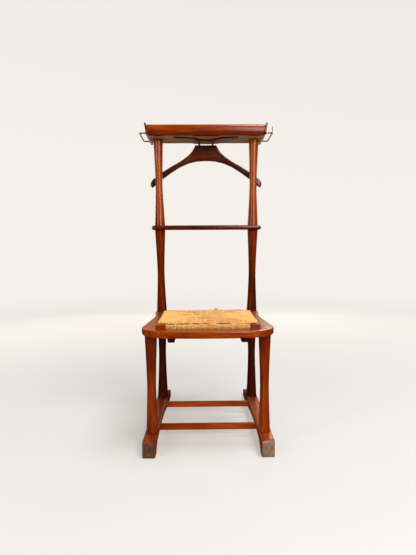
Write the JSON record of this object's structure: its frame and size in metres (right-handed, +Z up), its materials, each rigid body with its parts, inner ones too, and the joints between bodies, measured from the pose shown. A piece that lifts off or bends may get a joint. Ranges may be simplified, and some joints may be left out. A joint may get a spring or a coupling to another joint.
{
  "type": "valet stand",
  "caption": "Upright clothes valet with turned posts on sled runners, a drop-in rush seat, a trouser bar, a coat hanger and a small tray with brass tie rails.",
  "frame": {"origin": "on the floor, in the middle of the stand's outline", "axes": "+Z up, +X to the right as seen from the front, +Y to the back"},
  "size_m": [0.489, 0.5602, 1.098],
  "materials": {
    "polished_wood": "stained beech under satin-gloss varnish",
    "plain_wood": "unfinished beech",
    "tray_panel": "thin plywood, varnished inside the tray, bare below",
    "rush": "hand-twisted rush cord",
    "brass": "worn polish",
    "screw_steel": "dulled steel"
  },
  "bodies": {
    "stand": {"back_post_left": "polished_wood", "back_post_right": "polished_wood", "bar_dowel_left": "plain_wood", "bar_dowel_right": "plain_wood", "bearer_screw_back_left": "screw_steel", "bearer_screw_back_right": "screw_steel", "bearer_screw_front_left": "screw_steel", "bearer_screw_front_right": "screw_steel", "coat_hanger": "polished_wood", "front_leg_left": "polished_wood", "front_leg_right": "polished_wood", "hanger_peg_left": "polished_wood", "hanger_peg_right": "polished_wood", "hanger_yoke": "polished_wood", "rear_leg_left": "polished_wood", "rear_leg_right": "polished_wood", "runner_left": "polished_wood", "runner_right": "polished_wood", "seat_bearer_left": "polished_wood", "seat_bearer_right": "polished_wood", "seat_frame_back": "polished_wood", "seat_frame_front": "polished_wood", "seat_frame_left": "polished_wood", "seat_frame_right": "polished_wood", "shoe_bar_front": "polished_wood", "shoe_bar_rear": "polished_wood", "tie_rail_left": "brass", "tie_rail_right": "brass", "tray_back_lip": "polished_wood", "tray_base": "tray_panel", "tray_end_left": "polished_wood", "tray_end_right": "polished_wood", "tray_front_rail": "polished_wood", "tray_screw_left": "brass", "tray_screw_right": "brass", "trouser_bar": "polished_wood", "yoke_screw_left": "screw_steel", "yoke_screw_right": "screw_steel"},
    "drop_in_seat": {"seat_corner_front_left": "polished_wood", "seat_corner_front_right": "polished_wood", "seat_corner_back_left": "polished_wood", "seat_corner_back_right": "polished_wood", "seat_rail_left": "plain_wood", "seat_rail_right": "plain_wood", "seat_rail_front": "plain_wood", "seat_rail_back": "plain_wood", "rush_seat": "rush", "lifting_loop": "rush"}
  },
  "joints": [
    {"name": "seat_lift", "type": "slide", "parent": "stand", "child": "drop_in_seat", "axis": [0, 0, 1], "range_m": [0, 0.12]}
  ]
}
